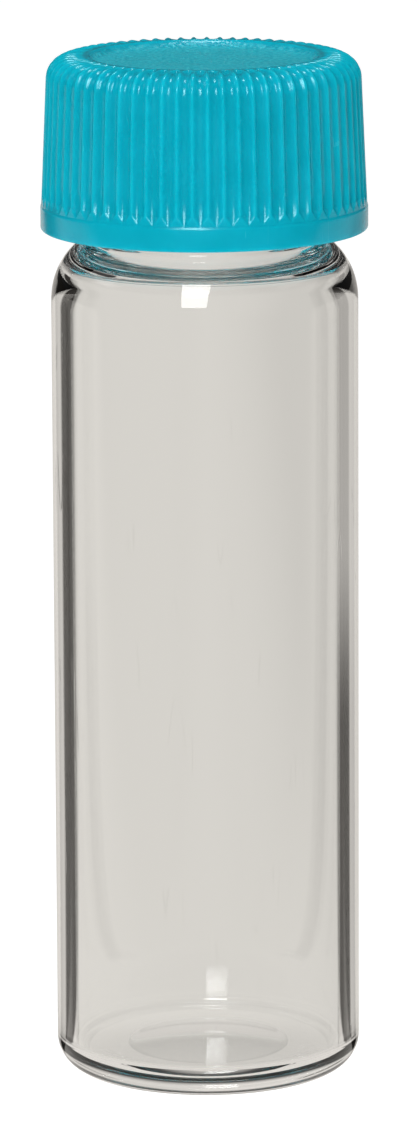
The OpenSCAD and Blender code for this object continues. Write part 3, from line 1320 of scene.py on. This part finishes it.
@dataclass
class Studio:
    """Plain pale floor, soft light and the painted surroundings that the glass shows."""

    floor_half: float = 3000.0
    pale: Colour = rgb(0.8, 0.8, 0.8)
    white: Colour = rgb(1.0, 1.0, 1.0)
    backdrop: Colour = rgb(0.785, 0.75, 0.705)
    sky: Colour = rgb(0.05, 0.05, 0.05)
    ambient: Colour = rgb(0.2, 0.2, 0.2)
    floor_glow: float = 0.92
    floor_share: float = 0.25
    # painted light: the floor's glow to diffuse rays, standing in for bounce light
    floor_bounce: float = 0.3
    flag_side: float = 10.6
    floor_flag_top: float = 1.0
    world_flag_top: float = 0.05
    floor_front: float = 60.0
    world_front: float = 0.3
    ceiling: Point = (0.1, 0.45)
    # painted light: how many times more the floor glows to bounces that came out of the glass
    soaked: float = 5.0
    light_path: int = 14
    sun_strength: float = 0.35
    sun_bearing: float = -8.0
    sun_elevation: float = 36.0
    sun_angle: float = 14.0
    lamps: tuple[Lamp, ...] = (
        Lamp("window_light", -8.0, 33.5, 520.0, 170.0, 332.0, 9.0),
        Lamp("left_light", -100.0, 36.0, 420.0, 200.0, 110.0, 0.8, (1.0, 0.97, 0.96)),
        Lamp("top_light", 180.0, 80.0, 450.0, 120.0, 120.0, 12.0),
        Lamp("right_light", 82.0, 38.0, 420.0, 200.0, 90.0, 0.35, (1.0, 0.97, 0.96)),
    )

    def tone(
        self, wiring: Wiring, way: Feed, out: Feed, side: float, soft: float, top: float, backdrop: Feed
    ) -> Socket:
        """Adds the shared painted surroundings: dark flags, a dark front and shade.

        Args:
            wiring: the floor's or the world's nodes.
            way: the place or the direction, seen from the vial.
            out: 1 for a ray that came out of the glass.
            side: distance of the vial's sides from its axis, from which the painted flags' bearings are
                taken.
            soft: how far in front of the vial the painted dark front is reached.
            top: height at which the painted flags start to fade.
            backdrop: the colour between the painted flags.

        Returns:
            The tone's socket.
        """
        mirrored = wiring.math("SUBTRACT", 1.0, out)
        feeds = {"Way": way, "Backdrop": backdrop, "Side": side, "Front Soft": soft, "Mirrored": mirrored}
        feeds["Flag Top"] = top
        return wiring.group(SURROUNDINGS, feeds)["Tone"]

    def floor(self) -> Piece:
        """Makes the floor: white to the camera, with the painted surroundings to glass and gloss, a glow of
        painted light to diffuse rays, and shaded by the object's shadow.

        Returns:
            The floor.
        """
        half = self.floor_half * MM
        mesh = bpy.data.meshes.new("floor")
        corners = [(-half, -half, 0), (half, -half, 0), (half, half, 0), (-half, half, 0)]
        mesh.from_pydata(corners, [], [(0, 1, 2, 3)])
        made = piece("floor", mesh)
        material = bpy.data.materials.new("pale_floor")
        wiring = emptied(material)
        camera, through, out = wiring.rays()
        seen = wiring.math("MAXIMUM", camera, through)
        side, soft = self.flag_side * MM, self.floor_front * MM
        tone = self.tone(wiring, wiring.place(), out, side, soft, self.floor_flag_top, self.backdrop)
        colour = wiring.blend(through, wiring.blend(camera, self.pale, self.white), tone)
        # painted light: the floor glows brighter to diffuse bounces that came out of the glass, to light the
        # cap from below
        bounces = wiring.node("ShaderNodeLightPath").outputs["Diffuse Depth"]
        out_of_glass_bounce = wiring.math("MULTIPLY", wiring.math("GREATER_THAN", bounces, 0.5), out)
        gain = wiring.math("MULTIPLY_ADD", out_of_glass_bounce, self.soaked, 1.0)
        glow = wiring.ramp(seen, 0.0, 1.0, self.floor_bounce, self.floor_glow)
        glow = wiring.math("MULTIPLY", glow, gain)
        share = wiring.math("MULTIPLY_ADD", camera, self.floor_share, wiring.math("SUBTRACT", 1.0, seen))
        lit = wiring.vector("SCALE", colour, scale=share)
        feeds = {0: wiring.node("ShaderNodeEmission", {"Color": colour, "Strength": glow}).outputs[0]}
        feeds[1] = wiring.node("ShaderNodeBsdfDiffuse", {"Color": lit}).outputs[0]
        both = wiring.node("ShaderNodeAddShader", feeds).outputs[0]
        wiring.node("ShaderNodeOutputMaterial", {"Surface": both})
        made.data.materials.append(material)
        made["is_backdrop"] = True
        return made

    def world(self) -> None:
        """Makes the world: white to the camera, toned to glass and gloss with the painted surroundings, and a
        plain soft light to the rest.

        A ray out of the glass meets the backdrop up to the ceiling, which is as dark as the mirrored sky.
        """
        world = bpy.data.worlds.new("studio")
        bpy.context.scene.world = world
        wiring = emptied(world)
        camera, through, out = wiring.rays()
        way = wiring.node("ShaderNodeTexCoord").outputs["Generated"]
        height = wiring.node("ShaderNodeSeparateXYZ", {0: way}).outputs[2]
        backdrop = wiring.blend(wiring.ramp(height, *self.ceiling, out, 0.0), self.sky, self.backdrop)
        tone = self.tone(wiring, way, out, 0.0, self.world_front, self.world_flag_top, backdrop)
        colour = wiring.blend(through, wiring.blend(camera, self.ambient, self.white), tone)
        sky = wiring.node("ShaderNodeBackground", {"Color": colour, "Strength": 1.0}).outputs[0]
        wiring.node("ShaderNodeOutputWorld", {"Surface": sky})

    def sun(self) -> Piece:
        """Hangs the main light, wide and even over the whole floor.

        Returns:
            The light.
        """
        data = bpy.data.lights.new("main_light", "SUN")
        data.energy = self.sun_strength
        data.angle = math.radians(self.sun_angle)
        return aimed("main_light", data, self.sun_bearing, self.sun_elevation, Vector(), 0.0)

    def build(self, target: Vector) -> None:
        """Makes the whole studio, and lets light pass through the glass often enough to stay clear.

        Args:
            target: what the lamps face, in metres.
        """
        self.floor()
        self.world()
        self.sun()
        for lamp in self.lamps:
            lamp.hang(target)
        bpy.context.scene.view_settings.view_transform = "Standard"
        for limit in ("max_bounces", "transmission_bounces", "glossy_bounces"):
            setattr(bpy.context.scene.cycles, limit, self.light_path)


def main() -> None:
    """Builds the three pieces round the frame, then the studio."""
    logging.basicConfig(level=logging.INFO, format="%(name)s: %(message)s")
    glass_low, glass_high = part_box("vial")
    cap_low, cap_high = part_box("cap")
    liner_low, liner_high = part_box("cap_liner")
    GlassVial(glass_high.x / MM, glass_high.z / MM).build()
    ScrewCap(cap_high.x / MM, cap_low.z / MM, cap_high.z / MM).build()
    SealLiner(liner_high.x / MM, liner_low.z / MM, liner_high.z / MM).build()
    Studio().build((glass_low + glass_high) / 2)
    Viewpoint().build()
    visual_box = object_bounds()
    for name, box in (("solids", SOLID_BOX), ("visual", visual_box)):
        LOG.info("%s %s", name, [round(value / MM, 3) for corner in box for value in corner])


if __name__ == "__main__":
    main()
